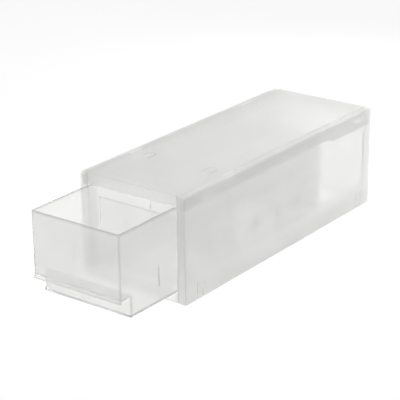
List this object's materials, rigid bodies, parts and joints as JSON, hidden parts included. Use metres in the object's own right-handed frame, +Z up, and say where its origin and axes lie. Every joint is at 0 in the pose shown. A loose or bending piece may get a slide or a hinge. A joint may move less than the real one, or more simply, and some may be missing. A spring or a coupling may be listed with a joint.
{
  "type": "stackable drawer box",
  "caption": "Stackable translucent plastic drawer box: snap-together case with a stepped-front drawer on runners, removable dividers and stacking keys.",
  "frame": {"origin": "middle of the case's base, on the surface that it stands on", "axes": "+Z up, +Y from the drawer's front to the back, +X to the right of someone facing the drawer"},
  "size_m": [0.14, 0.4612, 0.12],
  "materials": {
    "side_polypropylene": "frosted translucent, fine matt grain",
    "top_polypropylene": "frosted translucent, fine matt grain",
    "base_polypropylene": "frosted translucent, fine matt grain",
    "drawer_polypropylene": "frosted translucent, smoother than the case",
    "divider_polypropylene": "frosted translucent",
    "key_polypropylene": "frosted translucent"
  },
  "bodies": {
    "case": {"right_side_panel": "side_polypropylene", "left_side_panel": "side_polypropylene", "top_panel": "top_polypropylene", "bottom_panel": "base_polypropylene", "back_panel": "base_polypropylene", "front_left_stacking_key": "key_polypropylene", "front_right_stacking_key": "key_polypropylene", "rear_left_stacking_key": "key_polypropylene", "rear_right_stacking_key": "key_polypropylene"},
    "drawer": {"drawer_tub": "drawer_polypropylene", "front_divider": "divider_polypropylene", "rear_divider": "divider_polypropylene"}
  },
  "joints": [
    {"name": "drawer_slide", "type": "slide", "parent": "case", "child": "drawer", "axis": [0, -1, 0], "range_m": [-0.09, 0.1885]}
  ]
}
